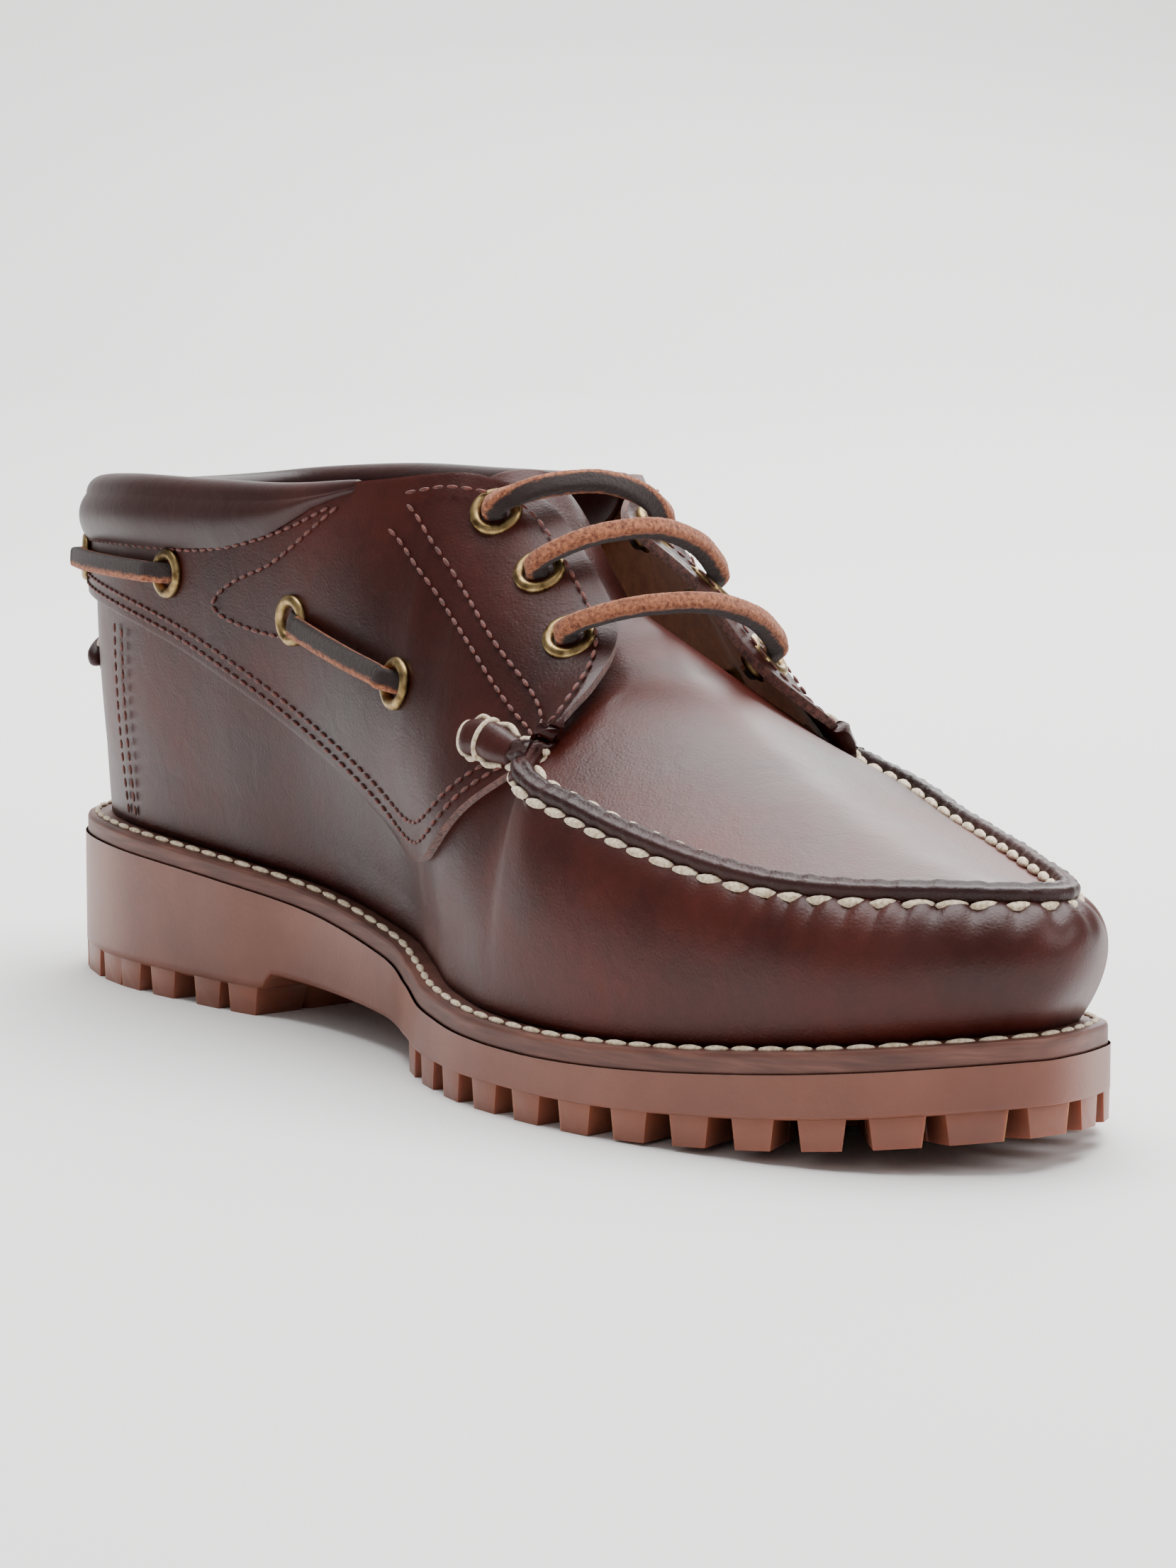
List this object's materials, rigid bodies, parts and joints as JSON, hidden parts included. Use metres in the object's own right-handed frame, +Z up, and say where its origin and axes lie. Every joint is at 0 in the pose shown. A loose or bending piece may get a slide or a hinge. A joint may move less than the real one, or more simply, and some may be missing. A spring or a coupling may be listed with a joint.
{
  "type": "boat shoe",
  "caption": "Moccasin boat shoe for the left foot: hollow leather upper with a raised apron seam, tongue, rawhide laces through eyelets, midsole and lugged gum outsole.",
  "frame": {"origin": "on the ground, under the middle of the shoe's bounding box", "axes": "+X from heel to toe, +Y to the outer side of the left foot, +Z up from the ground"},
  "size_m": [0.3054, 0.1048, 0.1112],
  "materials": {
    "gum_rubber": "satin, slightly translucent gum",
    "midsole_leather": "dyed and sanded edge",
    "insole_leather": "smooth vegetable tan",
    "upper_leather": "waxed pull-up, semi-gloss",
    "tongue_leather": "waxed pull-up, semi-gloss",
    "eyelet_brass": "antique, satin",
    "lace_rawhide": "rough flesh side"
  },
  "bodies": {
    "root": {"outsole": "gum_rubber", "midsole": "midsole_leather", "insole": "insole_leather", "upper": "upper_leather", "tongue": "tongue_leather", "eyelet_inner_top": "eyelet_brass", "eyelet_inner_middle": "eyelet_brass", "eyelet_inner_bottom": "eyelet_brass", "eyelet_inner_side_a": "eyelet_brass", "eyelet_inner_side_b": "eyelet_brass", "eyelet_inner_side_c": "eyelet_brass", "eyelet_inner_side_d": "eyelet_brass", "eyelet_outer_top": "eyelet_brass", "eyelet_outer_middle": "eyelet_brass", "eyelet_outer_bottom": "eyelet_brass", "eyelet_outer_side_a": "eyelet_brass", "eyelet_outer_side_b": "eyelet_brass", "eyelet_outer_side_c": "eyelet_brass", "eyelet_outer_side_d": "eyelet_brass", "lace_bar_top": "lace_rawhide", "lace_bar_middle": "lace_rawhide", "lace_bar_bottom": "lace_rawhide", "lace_inner_front": "lace_rawhide", "lace_inner_rear": "lace_rawhide", "lace_outer_front": "lace_rawhide", "lace_outer_rear": "lace_rawhide"}
  },
  "joints": []
}
